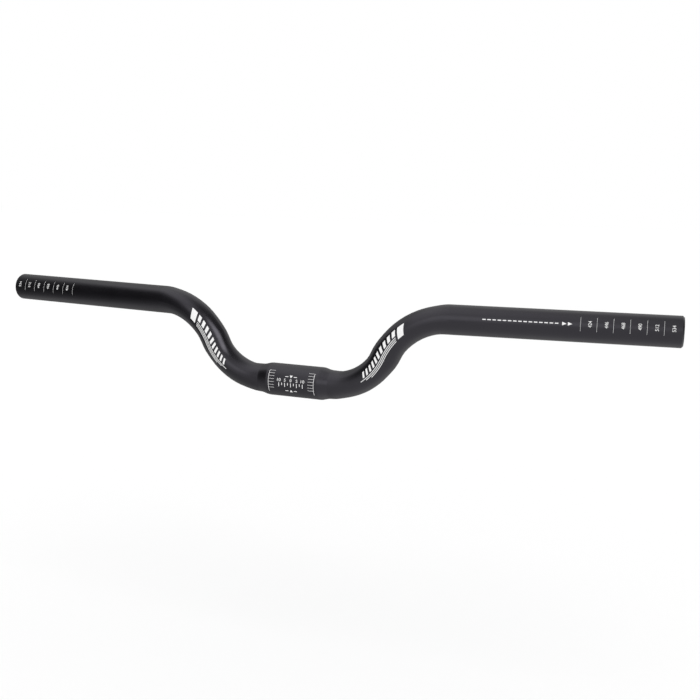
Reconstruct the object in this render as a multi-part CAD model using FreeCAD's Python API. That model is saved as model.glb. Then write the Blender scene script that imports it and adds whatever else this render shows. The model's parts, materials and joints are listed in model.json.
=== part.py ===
import FreeCAD, Part
import math
import os

# A riser handlebar for a bicycle: one aluminium tube, thicker where the stem clamps it, bent up and then
# outwards on each side, with straight open ends for the grips.
# Millimetres and degrees, +Z up. The origin is the middle of the clamp, +X runs along the bar and -Y is
# the front. Lengths and radii of bends are those of the tube's centre line.

# the tube
BAR_WIDTH = 560.0
GRIP_DIAMETER = 22.2
CLAMP_DIAMETER = 25.4
WALL = 2.4

# the straight middle, from the centre outwards
CLAMP_LENGTH = 43.0
TAPER_LENGTH = 8.0
LEAD_LENGTH = 0.5

# the bend up, the short rise and the bend outwards
RISE_ANGLE = 62.8
RISE_BEND_RADIUS = 47.5
RISE_LENGTH = 1.0
GRIP_BEND_RADIUS = 54.2
BACK_SWEEP_ANGLE = 5.7
UP_SWEEP_ANGLE = 0.2

# what bending takes off the diameter in the plane of the bend, and the share of the bend it sets in over
RISE_BEND_FLATTENING = 1.65
GRIP_BEND_FLATTENING = 1.3
FLATTENING_RUN_IN_SHARE = 0.22
BEND_SECTIONS = 29

# the deburred edges of the open ends
END_CHAMFER = 1.2
BORE_CHAMFER = 0.4

Vector = FreeCAD.Vector
CENTRE = Vector(0, 0, 0)
ALONG_BAR = Vector(1, 0, 0)


def direction(sideways, upwards):
    """A unit vector along +X, turned back by the first angle and up by the second."""
    sideways = math.radians(sideways)
    upwards = math.radians(upwards)
    level = math.cos(upwards)
    return Vector(level * math.cos(sideways), level * math.sin(sideways), math.sin(upwards))


def smooth_step(share):
    """Goes from 0 to 1 with no slope at either end."""
    share = min(max(share, 0.0), 1.0)
    return share * share * (3.0 - 2.0 * share)


class Bend:
    """An arc of the centre line from one direction to another, where the tube is a little flattened."""

    def __init__(self, start, arriving, leaving, radius, flattening):
        self.start = start
        self.arriving = arriving
        self.radius = radius
        self.flattening = flattening
        self.turn = arriving.getAngle(leaving)
        self.axis = arriving.cross(leaving).normalize()
        self.inward = self.axis.cross(arriving)

    def point(self, share):
        angle = self.turn * share
        ahead = self.arriving * math.sin(angle) + self.inward * (1 - math.cos(angle))
        return self.start + ahead * self.radius

    def tangent(self, share):
        angle = self.turn * share
        return self.arriving * math.cos(angle) + self.inward * math.sin(angle)

    def section(self, share, radius):
        """An ellipse: the full radius across the plane of the bend and a smaller one in it."""
        run_in = smooth_step(share / FLATTENING_RUN_IN_SHARE)
        run_out = smooth_step((1 - share) / FLATTENING_RUN_IN_SHARE)
        ellipse = Part.Ellipse(CENTRE, radius, radius - run_in * run_out * self.flattening / 2)
        quarter = math.pi / 2
        wire = Part.Wire([ellipse.toShape(step * quarter, (step + 1) * quarter) for step in range(4)])
        tangent = self.tangent(share)
        turned = FreeCAD.Rotation(self.axis, tangent.cross(self.axis), tangent, "ZXY")
        wire.Placement = FreeCAD.Placement(self.point(share), turned)
        return wire

    def solid(self, radius):
        shares = [step / (BEND_SECTIONS - 1) for step in range(BEND_SECTIONS)]
        return Part.makeLoft([self.section(share, radius) for share in shares], True, False)


class HalfBar:
    """The centre line on the right, from the middle of the clamp to the open end."""

    def __init__(self):
        self.lead_end = ALONG_BAR * (CLAMP_LENGTH / 2 + TAPER_LENGTH + LEAD_LENGTH)
        self.rise = direction(0, RISE_ANGLE)
        self.grip = direction(BACK_SWEEP_ANGLE, UP_SWEEP_ANGLE)
        self.rise_bend = Bend(self.lead_end, ALONG_BAR, self.rise, RISE_BEND_RADIUS, RISE_BEND_FLATTENING)
        self.rise_start = self.rise_bend.point(1)
        rise_end = self.rise_start + self.rise * RISE_LENGTH
        self.grip_bend = Bend(rise_end, self.rise, self.grip, GRIP_BEND_RADIUS, GRIP_BEND_FLATTENING)
        self.grip_start = self.grip_bend.point(1)
        self.grip_length = (BAR_WIDTH / 2 - self.grip_start.x) / self.grip.x
        self.end = self.grip_start + self.grip * self.grip_length


def taper_edge(clamp_end, clamp_radius, taper_end, grip_radius):
    """An S-curve that leaves the clamp and meets the thinner tube without a corner."""
    third = (taper_end - clamp_end) / 3
    curve = Part.BezierCurve()
    curve.setPoles([Vector(clamp_end, 0, clamp_radius), Vector(clamp_end + third, 0, clamp_radius),
                    Vector(taper_end - third, 0, grip_radius), Vector(taper_end, 0, grip_radius)])
    return curve.toShape()


def middle_solid(half, inset):
    """The clamp, its two tapers and the leads up to the bends, turned about the bar's axis."""
    clamp_radius = CLAMP_DIAMETER / 2 - inset
    grip_radius = GRIP_DIAMETER / 2 - inset
    clamp_end = CLAMP_LENGTH / 2
    taper_end = clamp_end + TAPER_LENGTH
    lead_end = half.lead_end.x
    edges = [Part.makeLine(Vector(-lead_end, 0, 0), Vector(lead_end, 0, 0)),
             Part.makeLine(Vector(-clamp_end, 0, clamp_radius), Vector(clamp_end, 0, clamp_radius))]
    for side in (-1, 1):
        corner = Vector(side * lead_end, 0, grip_radius)
        edges.append(Part.makeLine(Vector(side * lead_end, 0, 0), corner))
        edges.append(Part.makeLine(corner, Vector(side * taper_end, 0, grip_radius)))
        edges.append(taper_edge(side * clamp_end, clamp_radius, side * taper_end, grip_radius))
    outline = Part.Wire(Part.sortEdges(edges)[0])
    return Part.Face(outline).revolve(CENTRE, ALONG_BAR, 360)


def right_solids(half, inset):
    """The bends and straights of the right-hand half, which meet face to face."""
    radius = GRIP_DIAMETER / 2 - inset
    return [half.rise_bend.solid(radius),
            Part.makeCylinder(radius, RISE_LENGTH, half.rise_start, half.rise),
            half.grip_bend.solid(radius),
            Part.makeCylinder(radius, half.grip_length, half.grip_start, half.grip)]


def filled_bar(half, inset):
    """The whole bar as a filled form, with its skin moved inwards by the inset."""
    right = right_solids(half, inset)
    left = [solid.mirror(CENTRE, ALONG_BAR) for solid in right]
    return middle_solid(half, inset).multiFuse(right + left)


def end_edges(bar, half, radius):
    """The round edges of this radius at the two open ends."""
    edges = []
    for edge in bar.Edges:
        if not isinstance(edge.Curve, Part.Circle):
            continue
        centre = edge.Curve.Center
        off_end = Vector(abs(centre.x), centre.y, centre.z).distanceToPoint(half.end)
        off_size = abs(edge.Curve.Radius - radius)
        if max(off_end, off_size) < Part.Precision.approximation():
            edges.append(edge)
    return edges


def handlebar():
    half = HalfBar()
    bar = filled_bar(half, 0).cut(filled_bar(half, WALL))
    bar = bar.makeChamfer(END_CHAMFER, end_edges(bar, half, GRIP_DIAMETER / 2))
    return bar.makeChamfer(BORE_CHAMFER, end_edges(bar, half, GRIP_DIAMETER / 2 - WALL))


os.makedirs("parts", exist_ok=True)
handlebar().exportStep("parts/handlebar.step")
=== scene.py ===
from collections import namedtuple
import json
import math

import bmesh
import bpy
from mathutils import Matrix, Vector
from mathutils.bvhtree import BVHTree


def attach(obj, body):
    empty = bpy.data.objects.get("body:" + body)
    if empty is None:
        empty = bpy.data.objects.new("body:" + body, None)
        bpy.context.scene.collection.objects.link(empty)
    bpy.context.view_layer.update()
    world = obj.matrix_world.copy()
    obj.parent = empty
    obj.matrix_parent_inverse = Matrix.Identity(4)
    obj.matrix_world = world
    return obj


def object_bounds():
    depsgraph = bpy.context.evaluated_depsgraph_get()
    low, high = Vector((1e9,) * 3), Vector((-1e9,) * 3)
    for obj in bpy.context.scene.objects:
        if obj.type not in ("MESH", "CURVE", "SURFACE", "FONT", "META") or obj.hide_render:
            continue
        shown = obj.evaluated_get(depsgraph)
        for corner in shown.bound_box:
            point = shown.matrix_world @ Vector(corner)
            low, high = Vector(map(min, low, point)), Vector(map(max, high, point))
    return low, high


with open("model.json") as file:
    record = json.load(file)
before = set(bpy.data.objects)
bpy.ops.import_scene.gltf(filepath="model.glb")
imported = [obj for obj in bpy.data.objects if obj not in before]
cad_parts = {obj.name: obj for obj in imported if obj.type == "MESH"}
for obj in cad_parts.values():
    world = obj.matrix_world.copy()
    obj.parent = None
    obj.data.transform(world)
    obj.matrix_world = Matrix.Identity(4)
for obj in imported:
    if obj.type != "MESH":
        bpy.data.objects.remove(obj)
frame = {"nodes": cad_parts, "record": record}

# A satin black riser handlebar with white print: cut marks and widths near both ends, rulers and a centring
# scale on the clamp, and slanted bands on the rises. Metres, in the part's own frame: +X along the bar,
# -Y to the front, +Z up. Print is laid out in millimetres: along the bar and round the tube.

MM = 0.001
CAD_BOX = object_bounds()
BODY = "root"
BAR = frame["nodes"]["handlebar"]
MOUNTS = {mount["name"]: mount for mount in frame["record"]["mounts"]}
CENTRE = Vector((0, 0, 0))
ALONG_BAR = Vector((1, 0, 0))
FRONT = Vector((0, -1, 0))
UP = Vector((0, 0, 1))
SIDE_NAMES = {-1: "left", 1: "right"}

# the camera, fitted to the outline and to the rims of both ends
PICTURE_SIDE = 700.0
FOCAL_LENGTH = 953.67
SENSOR_WIDTH = 36.0
CAMERA_AZIMUTH = math.radians(21.964)
CAMERA_ELEVATION = math.radians(9.523)
CAMERA_ROLL = math.radians(1.147)
CAMERA_DISTANCE = 742.74 * MM
CAMERA_ASIDE = 40.91 * MM
CAMERA_ABOVE = 24.11 * MM
CAMERA_CLIP = 10 * MM

# the tube's centre line, in millimetres, where the mounts don't give it
LEAD_END = 30.0
RISE_ANGLE = math.radians(62.8)
RISE_BEND_RADIUS = 47.5
RISE_LENGTH = 1.0
GRIP_BEND_RADIUS = 54.2
END_CHAMFER = 1.2

# the skin of ink: how far it stands out of the tube and reaches into it, the strips it is cut into so that
# it follows the tube, where rays to the tube start, and the distance below which two points are one
INK_PROUD = 0.06
INK_SUNK = 0.10
STEP_ALONG = 1.5
STEP_ROUND = 0.6
CAST_FROM = 20.0
SAME_POINT = 0.002
CLEANING_ROUNDS = 2

# cut marks and widths, from the end inwards
MARK_COUNT = 6
FIRST_MARK = 13.0
MARK_PITCH = 11.0
MARK_WIDTH = 0.135
MARK_LOW = -1.8
MARK_HIGH = 8.4
NUMBER_OFF_MARK = 6.3
NUMBER_LIFT = 3.4
NUMBER_LENGTH = 4.5
NUMBER_HEIGHT = 2.4

# the arrows on the right grip and the dashes that lead to them
ARROW_TAILS = (80.4, 76.5)
ARROW_LENGTH = 3.0
ARROW_HALF = 1.25
ARROW_LIFT = 2.9
DASH_COUNT = 15
DASH_START = 135.7
DASH_PITCH = 3.6
DASH_LENGTH = 2.4
DASH_WIDTH = 0.7

# the rulers at both sides of the clamp
RULER_OFF_CENTRE = 19.1
RULER_LINE = 0.3
RULER_LOW = -8.0
RULER_HIGH = 9.7
RULER_TICKS = 7
RULER_TICK_PITCH = 2.3
RULER_TICK_LENGTH = 4.7
RULER_TICK_WIDTH = 0.2

# the centring scale between them
SCALE_REACH = 10
SCALE_MARK = 5
SCALE_NUMBER_LIFT = 2.4
SCALE_NUMBER_HEIGHT = 2.3
SCALE_DIGIT_WIDTH = 1.5
SCALE_TICK_TOP = 0.3
SCALE_TICK_LONG = 3.2
SCALE_TICK_SHORT = 1.9
SCALE_TICK_WIDTH = 0.5
POINTER_HALF = 1.3
POINTER_HEIGHT = 2.2
POINTER_LIFTS = (5.3, -6.2)
POINTER_DASH = 2.6
POINTER_DASH_WIDTH = 0.5
POINTER_DASH_GAP = 1.0

# the print on the rises, from the top down: a block, a row of bands that get shorter, and pinstripes
# below them
RISE_TOP = 109.5
RISE_RUN = 51.0
RISE_TOP_LIFT = 2.5
RISE_LOW_LIFT = -0.2
RISE_HALF = 3.9
RISE_SLANT = 4.0
BLOCK_LENGTH = 5.5
BAND_COUNT = 10
BAND_FIRST = 3.0
BAND_SHRINK = 0.94
BAND_GAP = 2.0
BAND_LOW = -0.3
STRIPE_COUNT = 3
STRIPE_FIRST = -1.3
STRIPE_PITCH = 1.2
STRIPE_WIDTH = 0.5
STRIPE_STEP = 5.0

# the black finish and the ink: slow clouds of depth and of sheen, and a fine grain
Noise = namedtuple("Noise", "scale detail")
NOISE_LOW = 0.3
NOISE_HIGH = 0.7
GRAIN_DEPTH = 0.02 * MM
BAR_BLACK = (0.0062, 0.0058, 0.0071)
BAR_BLACK_DEEP = (0.0047, 0.0044, 0.0054)
BAR_SHEEN = (0.91, 0.88, 1.0)
BAR_IOR = 1.5
BAR_ROUGHNESS = (0.20, 0.26)
BAR_DEPTH_CLOUDS = Noise(45.0, 3.0)
BAR_SHEEN_CLOUDS = Noise(160.0, 4.0)
BAR_GRAIN = Noise(5500.0, 2.0)
BAR_GRAIN_STRENGTH = 0.25
INK_WHITE = (0.95, 0.95, 0.94)
INK_THIN = (0.90, 0.90, 0.90)
INK_ROUGHNESS = (0.45, 0.60)
INK_DEPTH_CLOUDS = Noise(900.0, 3.0)
INK_SHEEN_CLOUDS = Noise(2500.0, 2.0)
INK_GRAIN = Noise(4000.0, 2.0)
INK_GRAIN_STRENGTH = 0.15

# the floor and the light
WHITE = (1, 1, 1, 1)
BLACK = (0, 0, 0, 1)
FLOOR_WHITE = (0.85, 0.85, 0.85)
FLOOR_ROUGHNESS = 0.9
FLOOR_BELOW = 0.2
FLOOR_SIDE = 20.0
FLOOR_GLOW = 0.1
EVEN_LIGHT = 0.95
SOFT_LIGHT_FROM = (0.3, -0.5, 1.3)
SOFT_LIGHT_SPREAD = math.radians(40)
SOFT_LIGHT_LEVEL = 0.4

# the studio that the gloss shows: white walls with darker sides, and lamps. Each has a direction, the
# angles from it in degrees at which it is full and at which it ends, and a share of the white or a level
# to add
Lobe = namedtuple("Lobe", "axis core rim level")
STUDIO_WHITE = 0.95
DARKER_SIDES = (Lobe((-0.98, 0.10, -0.17), 55, 72, 0.61),
                Lobe((-0.29, 0.93, -0.23), 26, 70, 0.50),
                Lobe((0.74, 0.04, 0.67), 12, 60, 0.17))
LAMPS = (Lobe((-0.49, -0.30, 0.82), 2, 45, 0.5),
         Lobe((0.72, -0.37, 0.59), 4, 25, 4.4),
         Lobe((-0.14, -0.92, 0.37), 4, 22, 0.8))

# a round black card beyond the left end, with a soft edge: the share of its radius where that sets in, and
# how much its middle covers
CARD_PLACE = (-0.295, -0.123, 0.129)
CARD_FACING = (0.883, 0.470, 0.0)
CARD_RADIUS = 0.317
CARD_CORE = 0.17
CARD_COVER = 0.94


class Stretch:
    """A part of the tube's axis: a straight length, or an arc of a radius towards a new direction."""

    def __init__(self, before, length=0.0, towards=None, radius=None):
        self.start = before.place(before.length) if before else CENTRE
        self.ahead = before.direction(before.length) if before else ALONG_BAR
        self.radius = radius
        self.length = length
        if towards:
            self.length = radius * self.ahead.angle(towards)
            self.inward = (towards - self.ahead * self.ahead.dot(towards)).normalized()

    def place(self, way):
        if not self.radius:
            return self.start + self.ahead * way
        turn = way / self.radius
        return self.start + self.radius * (self.ahead * math.sin(turn) + self.inward * (1 - math.cos(turn)))

    def direction(self, way):
        if not self.radius:
            return self.ahead
        turn = way / self.radius
        return self.ahead * math.cos(turn) + self.inward * math.sin(turn)


class Tube:
    """The bar's skin, by the distance along its axis from the middle and the angle round from the front."""

    def __init__(self):
        grip = MOUNTS["right_grip"]
        rise = Vector((math.cos(RISE_ANGLE), 0, math.sin(RISE_ANGLE)))
        lead = Stretch(None, LEAD_END)
        rise_bend = Stretch(lead, towards=rise, radius=RISE_BEND_RADIUS)
        straight = Stretch(rise_bend, RISE_LENGTH)
        grip_bend = Stretch(straight, towards=Vector(grip["axis"]), radius=GRIP_BEND_RADIUS)
        end = Stretch(grip_bend, grip["dims"]["length_mm"] + END_CHAMFER)
        self.stretches = [lead, rise_bend, straight, grip_bend, end]
        self.length = sum(stretch.length for stretch in self.stretches)
        self.width = 2 * end.place(end.length).x
        mesh = BAR.data
        self.tree = BVHTree.FromPolygons([vertex.co / MM for vertex in mesh.vertices],
                                         [polygon.vertices for polygon in mesh.polygons])

    def axis(self, along):
        """The axis's place and direction. The left is the right's mirror image, and points the same way."""
        way = abs(along)
        for stretch in self.stretches:
            if way <= stretch.length or stretch is self.stretches[-1]:
                break
            way -= stretch.length
        place, ahead = stretch.place(way), stretch.direction(way)
        if along < 0:
            return Vector((-place.x, place.y, place.z)), Vector((ahead.x, -ahead.y, -ahead.z))
        return place, ahead

    def point(self, along, angle, proud):
        place, ahead = self.axis(along)
        front = (FRONT - ahead * ahead.dot(FRONT)).normalized()
        outward = front * math.cos(angle) + front.cross(ahead) * math.sin(angle)
        skin = self.tree.ray_cast(place + outward * CAST_FROM, -outward)[0]
        return (skin + outward * proud) * MM


class Print:
    """Flat shapes, laid out along the bar and round the tube, that become one thin skin of ink."""

    def __init__(self, name, mount):
        self.name = name
        self.radius = MOUNTS[mount]["dims"]["r_mm"]
        self.flat = bmesh.new()

    def polygon(self, corners):
        self.flat.faces.new([self.flat.verts.new((along, lift, 0)) for along, lift in corners])

    def rectangle(self, left, right, low, high):
        self.polygon(((left, low), (right, low), (right, high), (left, high)))

    def digits(self, text, middle, width, height, upwards=False):
        """Plain digits that fill a box; upwards means read from below, with their tops to the left."""
        curve = bpy.data.curves.new(self.name + "_digits", "FONT")
        curve.body = text
        writing = bpy.data.objects.new(curve.name, curve)
        bpy.context.collection.objects.link(writing)
        mesh = bpy.data.meshes.new_from_object(writing)
        xs = [vertex.co.x for vertex in mesh.vertices]
        ys = [vertex.co.y for vertex in mesh.vertices]
        to_middle = Matrix.Translation((-(min(xs) + max(xs)) / 2, -(min(ys) + max(ys)) / 2, 0))
        to_size = Matrix.Diagonal((width / (max(xs) - min(xs)), height / (max(ys) - min(ys)), 1, 1))
        turned = Matrix.Rotation(math.pi / 2 if upwards else 0.0, 4, "Z")
        mesh.transform(Matrix.Translation((*middle, 0)) @ turned @ to_size @ to_middle)
        self.flat.from_mesh(mesh)
        bpy.data.objects.remove(writing)
        bpy.data.curves.remove(curve)
        bpy.data.meshes.remove(mesh)

    def cut(self, axis, step):
        """Cuts all shapes into strips so that they can follow the tube."""
        normal = Vector((0, 0, 0))
        normal[axis] = 1
        reach = [vertex.co[axis] / step for vertex in self.flat.verts]
        for strip in range(math.ceil(min(reach)), math.floor(max(reach)) + 1):
            everything = self.flat.verts[:] + self.flat.edges[:] + self.flat.faces[:]
            bmesh.ops.bisect_plane(self.flat, geom=everything, dist=SAME_POINT,
                                   plane_co=normal * strip * step, plane_no=normal)

    def laid_on(self, tube, material):
        """Wraps the shapes round the tube as closed pieces, a little proud of it."""
        flat = self.flat
        bmesh.ops.remove_doubles(flat, verts=flat.verts, dist=SAME_POINT)
        for _ in range(CLEANING_ROUNDS):
            bmesh.ops.dissolve_degenerate(flat, dist=SAME_POINT, edges=flat.edges)
            bmesh.ops.triangulate(flat, faces=flat.faces)
        self.cut(0, STEP_ALONG)
        self.cut(1, STEP_ROUND)
        raised = bmesh.ops.extrude_face_region(flat, geom=flat.faces[:], use_keep_orig=True)["geom"]
        tops = {item for item in raised if isinstance(item, bmesh.types.BMVert)}
        for vertex in flat.verts:
            along, lift, _ = vertex.co
            proud = INK_PROUD if vertex in tops else -INK_SUNK
            vertex.co = tube.point(along, lift / self.radius, proud)
        bmesh.ops.recalc_face_normals(flat, faces=flat.faces)
        mesh = bpy.data.meshes.new(self.name)
        flat.to_mesh(mesh)
        flat.free()
        mesh.materials.append(material)
        piece = bpy.data.objects.new(self.name, mesh)
        bpy.context.collection.objects.link(piece)
        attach(piece, BODY)


def cut_marks(tube, side, ink):
    """Marks round the grip with the bar's width when both ends are cut there."""
    name = SIDE_NAMES[side]
    marks = Print(name + "_cut_marks", name + "_grip")
    for step in range(MARK_COUNT):
        from_end = FIRST_MARK + step * MARK_PITCH
        mark = side * (tube.length - from_end)
        marks.rectangle(mark - MARK_WIDTH / 2, mark + MARK_WIDTH / 2, MARK_LOW, MARK_HIGH)
        width = str(round(tube.width - 2 * from_end))
        middle = (mark + side * NUMBER_OFF_MARK, NUMBER_LIFT)
        marks.digits(width, middle, NUMBER_LENGTH, NUMBER_HEIGHT, upwards=True)
    marks.laid_on(tube, ink)


def grip_arrows(tube, ink):
    """Two arrows that point to the right end, with a dashed line before them."""
    arrows = Print("grip_arrows", "right_grip")
    for tail in ARROW_TAILS:
        back = tube.length - tail
        arrows.polygon(((back, ARROW_LIFT - ARROW_HALF), (back + ARROW_LENGTH, ARROW_LIFT),
                        (back, ARROW_LIFT + ARROW_HALF)))
    for step in range(DASH_COUNT):
        start = tube.length - DASH_START + step * DASH_PITCH
        arrows.rectangle(start, start + DASH_LENGTH,
                         ARROW_LIFT - DASH_WIDTH / 2, ARROW_LIFT + DASH_WIDTH / 2)
    arrows.laid_on(tube, ink)


def ruler(clamp, side):
    """A line round the clamp with ticks that point to its middle, as one outline."""
    outer = side * (RULER_OFF_CENTRE + RULER_LINE / 2)
    inner = side * (RULER_OFF_CENTRE - RULER_LINE / 2)
    tip = inner - side * RULER_TICK_LENGTH
    corners = [(outer, RULER_HIGH), (outer, RULER_LOW), (inner, RULER_LOW)]
    for tick in reversed(range(RULER_TICKS)):
        high = RULER_HIGH - tick * RULER_TICK_PITCH
        low = high - RULER_TICK_WIDTH
        corners += [(inner, low), (tip, low), (tip, high), (inner, high)]
    clamp.polygon(corners)


def pointer(clamp, lift, way):
    """A small triangle that points up or down to the scale, with a dash on each side."""
    base = lift - way * POINTER_HEIGHT / 2
    clamp.polygon(((-POINTER_HALF, base), (POINTER_HALF, base), (0, base + way * POINTER_HEIGHT)))
    for side in (-1, 1):
        ends = sorted((side * (POINTER_HALF + POINTER_DASH_GAP),
                       side * (POINTER_HALF + POINTER_DASH_GAP + POINTER_DASH)))
        clamp.rectangle(*ends, lift - POINTER_DASH_WIDTH / 2, lift + POINTER_DASH_WIDTH / 2)


def clamp_print(tube, ink):
    """Rulers for turning the bar and a scale for centring it in the stem."""
    clamp = Print("clamp_scale", "stem_clamp")
    for side in (-1, 1):
        ruler(clamp, side)
    for number in range(-SCALE_REACH, SCALE_REACH + 1, SCALE_MARK):
        text = str(abs(number))
        clamp.digits(text, (number, SCALE_NUMBER_LIFT), SCALE_DIGIT_WIDTH * len(text), SCALE_NUMBER_HEIGHT)
    for half_mark in range(-2 * SCALE_REACH, 2 * SCALE_REACH + 1, SCALE_MARK):
        place = half_mark / 2
        height = SCALE_TICK_SHORT if half_mark % (2 * SCALE_MARK) else SCALE_TICK_LONG
        clamp.rectangle(place - SCALE_TICK_WIDTH / 2, place + SCALE_TICK_WIDTH / 2,
                        SCALE_TICK_TOP - height, SCALE_TICK_TOP)
    pointer(clamp, POINTER_LIFTS[0], -1)
    pointer(clamp, POINTER_LIFTS[1], 1)
    clamp.laid_on(tube, ink)


def rise_print(tube, side, ink):
    """A slanted block, bands that run out down the rise, and pinstripes along them."""
    name = SIDE_NAMES[side]
    rise = Print(name + "_rise_stripes", name + "_grip")

    def slanted(top, low, rim_above, rim_below):
        """A piece between two distances along the bar and two heights off the print's middle line."""
        corners = []
        for along, rim in ((top, rim_above), (low, rim_above), (low, rim_below), (top, rim_below)):
            share = (RISE_TOP - along) / RISE_RUN
            lift = RISE_TOP_LIFT + share * (RISE_LOW_LIFT - RISE_TOP_LIFT) + rim
            corners.append((side * (along + RISE_SLANT * rim / (2 * RISE_HALF)), lift))
        rise.polygon(corners)

    top = RISE_TOP - BLOCK_LENGTH
    slanted(RISE_TOP, top, RISE_HALF, -RISE_HALF)
    for step in range(STRIPE_COUNT):
        above = STRIPE_FIRST - step * STRIPE_PITCH
        slanted(top - BAND_GAP, RISE_TOP - RISE_RUN + step * STRIPE_STEP, above, above - STRIPE_WIDTH)
    for step in range(BAND_COUNT):
        top -= BAND_GAP
        low = top - BAND_FIRST * BAND_SHRINK ** step
        slanted(top, low, RISE_HALF, BAND_LOW)
        top = low
    rise.laid_on(tube, ink)


def put(tree, socket, value):
    """Sets a value on a socket, or links another node's output to it."""
    if isinstance(value, bpy.types.NodeSocket):
        tree.links.new(value, socket)
    else:
        socket.default_value = value


def feed(tree, node, **inputs):
    """Puts values or other nodes' outputs on a node's inputs, by their names."""
    for name, value in inputs.items():
        put(tree, node.inputs[name.replace("_", " ")], value)
    return node


def add_node(tree, kind, **inputs):
    return feed(tree, tree.nodes.new("ShaderNode" + kind), **inputs)


def computed(tree, kind, operation, *operands):
    """The result of a node that computes with numbers or with vectors."""
    node = add_node(tree, kind)
    node.operation = operation
    for socket, operand in zip(node.inputs, operands):
        put(tree, socket, operand)
    return node.outputs["Value"]


def smooth(tree, value, start, end, before, after):
    """A level that changes smoothly from before to after while a value goes from start to end."""
    node = add_node(tree, "MapRange", Value=value, From_Min=start, From_Max=end,
                    To_Min=before, To_Max=after)
    node.interpolation_type = "SMOOTHSTEP"
    return node.outputs["Result"]


def chosen(tree, flag, otherwise, value):
    """One of two levels by a ray flag."""
    return add_node(tree, "Mix", Factor=flag, A=otherwise, B=value).outputs["Result"]


def seen(tree, rays):
    """The flag of rays that show a thing to the camera, straight or through glass."""
    return computed(tree, "Math", "MAXIMUM", rays["Is Camera Ray"], rays["Is Transmission Ray"])


def coordinates(tree, kind):
    return add_node(tree, "TexCoord").outputs[kind]


def noise(tree, kind):
    place = coordinates(tree, "Object")
    return add_node(tree, "TexNoise", Vector=place, Scale=kind.scale, Detail=kind.detail).outputs["Fac"]


def clouds(tree, kind, low, high):
    """The noise's middle range spread between two values."""
    node = add_node(tree, "MapRange", Value=noise(tree, kind), From_Min=NOISE_LOW, From_Max=NOISE_HIGH,
                    To_Min=low, To_Max=high)
    return node.outputs["Result"]


def blended(tree, share, first, second):
    node = add_node(tree, "Mix")
    node.data_type = "RGBA"
    return feed(tree, node, Factor=share, A=(*first, 1), B=(*second, 1)).outputs["Result"]


def grained(tree, kind, strength):
    """Normals with a fine grain."""
    node = add_node(tree, "Bump", Height=noise(tree, kind), Strength=strength, Distance=GRAIN_DEPTH)
    return node.outputs["Normal"]


def new_material(name):
    material = bpy.data.materials.new(name)
    material.use_nodes = True
    tree = material.node_tree
    return material, tree, tree.nodes["Principled BSDF"]


def anodised_black():
    """Blasted and black anodised aluminium: a fine grain and slow changes of depth and sheen."""
    material, tree, shader = new_material("satin_black_anodised")
    depth = clouds(tree, BAR_DEPTH_CLOUDS, 0.0, 1.0)
    feed(tree, shader, Base_Color=blended(tree, depth, BAR_BLACK_DEEP, BAR_BLACK),
         Roughness=clouds(tree, BAR_SHEEN_CLOUDS, *BAR_ROUGHNESS),
         Normal=grained(tree, BAR_GRAIN, BAR_GRAIN_STRENGTH),
         IOR=BAR_IOR, Specular_Tint=(*BAR_SHEEN, 1))
    return material


def white_ink():
    """Screen-printed white, a little thinner in places."""
    material, tree, shader = new_material("white_ink")
    depth = clouds(tree, INK_DEPTH_CLOUDS, 0.0, 1.0)
    feed(tree, shader, Base_Color=blended(tree, depth, INK_THIN, INK_WHITE),
         Roughness=clouds(tree, INK_SHEEN_CLOUDS, *INK_ROUGHNESS),
         Normal=grained(tree, INK_GRAIN, INK_GRAIN_STRENGTH))
    return material


def add_camera():
    """A camera at the photograph's viewpoint."""
    back = Vector((math.sin(CAMERA_AZIMUTH) * math.cos(CAMERA_ELEVATION),
                   -math.cos(CAMERA_AZIMUTH) * math.cos(CAMERA_ELEVATION),
                   math.sin(CAMERA_ELEVATION)))
    level = Vector((math.cos(CAMERA_AZIMUTH), math.sin(CAMERA_AZIMUTH), 0))
    right = math.cos(CAMERA_ROLL) * level + math.sin(CAMERA_ROLL) * back.cross(level)
    up = back.cross(right)
    data = bpy.data.cameras.new("camera")
    data.sensor_width = SENSOR_WIDTH
    data.lens = FOCAL_LENGTH / PICTURE_SIDE * SENSOR_WIDTH
    data.clip_start = CAMERA_CLIP
    camera = bpy.data.objects.new("camera", data)
    place = back * CAMERA_DISTANCE + right * CAMERA_ASIDE + up * CAMERA_ABOVE
    camera.matrix_world = Matrix.Translation(place) @ Matrix((right, up, back)).transposed().to_4x4()
    bpy.context.collection.objects.link(camera)
    bpy.context.scene.camera = camera


def add_square(name, material, placed):
    """A flat square, of side 2 before it is placed."""
    mesh = bpy.data.meshes.new(name)
    mesh.from_pydata([(-1, -1, 0), (1, -1, 0), (1, 1, 0), (-1, 1, 0)], [], [(0, 1, 2, 3)])
    mesh.materials.append(material)
    square = bpy.data.objects.new(name, mesh)
    square.matrix_world = placed
    bpy.context.collection.objects.link(square)
    return square


def add_floor():
    """A plain pale floor below the bar, white to the camera where no shadow falls."""
    material, tree, shader = new_material("floor")
    glow = chosen(tree, seen(tree, add_node(tree, "LightPath").outputs), 0.0, FLOOR_GLOW)
    feed(tree, shader, Base_Color=(*FLOOR_WHITE, 1), Roughness=FLOOR_ROUGHNESS, Specular_IOR_Level=0.0,
         Emission_Color=WHITE, Emission_Strength=glow)
    below = Matrix.Translation((0, 0, CAD_BOX[0].z - FLOOR_BELOW))
    floor = add_square("floor", material, below @ Matrix.Scale(FLOOR_SIDE / 2, 4))
    floor.visible_glossy = False


def in_lobe(tree, lobe, outside):
    """A level that changes smoothly from outside a cone of directions to the lobe's own within it."""
    nearness = computed(tree, "VectorMath", "DOT_PRODUCT", coordinates(tree, "Generated"),
                        Vector(lobe.axis).normalized())
    rim = math.cos(math.radians(lobe.rim))
    core = math.cos(math.radians(lobe.core))
    return smooth(tree, nearness, rim, core, outside, lobe.level)


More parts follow.
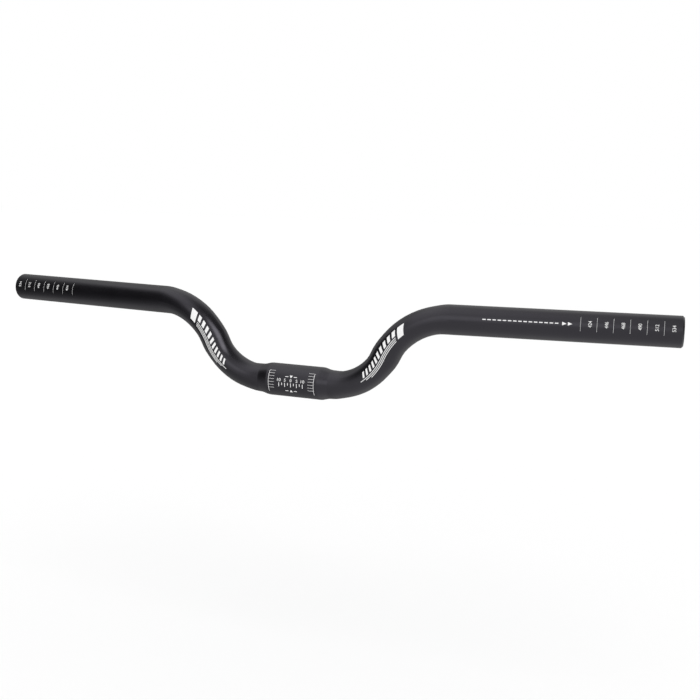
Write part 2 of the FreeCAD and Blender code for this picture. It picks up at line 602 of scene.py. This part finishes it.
def add_world():
    """White to the camera, even light on every surface, and the studio for the gloss."""
    world = bpy.data.worlds.new("studio")
    bpy.context.scene.world = world
    world.use_nodes = True
    tree = world.node_tree
    studio = STUDIO_WHITE
    for side in DARKER_SIDES:
        studio = computed(tree, "Math", "MULTIPLY", studio, in_lobe(tree, side, 1.0))
    for lamp in LAMPS:
        studio = computed(tree, "Math", "ADD", studio, in_lobe(tree, lamp, 0.0))
    rays = add_node(tree, "LightPath").outputs
    lit = chosen(tree, rays["Is Glossy Ray"], EVEN_LIGHT, studio)
    feed(tree, tree.nodes["Background"], Color=WHITE, Strength=chosen(tree, seen(tree, rays), lit, 1.0))


def add_card():
    """A soft-edged black card that shows in the gloss alone."""
    material, tree, shader = new_material("black_card")
    off_middle = computed(tree, "VectorMath", "LENGTH", coordinates(tree, "Object"))
    cover = smooth(tree, off_middle, CARD_CORE, 1.0, CARD_COVER, 0.0)
    feed(tree, shader, Base_Color=BLACK, Specular_IOR_Level=0.0, Alpha=cover)
    facing = Vector(CARD_FACING).normalized()
    turned = Matrix((UP.cross(facing), UP, facing)).transposed().to_4x4()
    placed = Matrix.Translation(CARD_PLACE) @ turned @ Matrix.Scale(CARD_RADIUS, 4)
    card = add_square("black_card", material, placed)
    card.visible_camera = False
    card.visible_diffuse = False
    card.visible_transmission = False
    card.visible_volume_scatter = False
    card.visible_shadow = False


def add_soft_light():
    """Soft light from above and before the bar, as even on the floor as on the bar."""
    data = bpy.data.lights.new("soft_light", "SUN")
    data.angle = SOFT_LIGHT_SPREAD
    data.energy = SOFT_LIGHT_LEVEL
    lamp = bpy.data.objects.new("soft_light", data)
    lamp.visible_glossy = False
    lamp.rotation_euler = (-Vector(SOFT_LIGHT_FROM)).to_track_quat("-Z", "Y").to_euler()
    bpy.context.collection.objects.link(lamp)


def main():
    bpy.context.scene.view_settings.view_transform = "Standard"
    BAR.material_slots[0].material = anodised_black()
    tube = Tube()
    ink = white_ink()
    for side in (-1, 1):
        cut_marks(tube, side, ink)
        rise_print(tube, side, ink)
    grip_arrows(tube, ink)
    clamp_print(tube, ink)
    add_camera()
    add_floor()
    add_world()
    add_card()
    add_soft_light()


main()
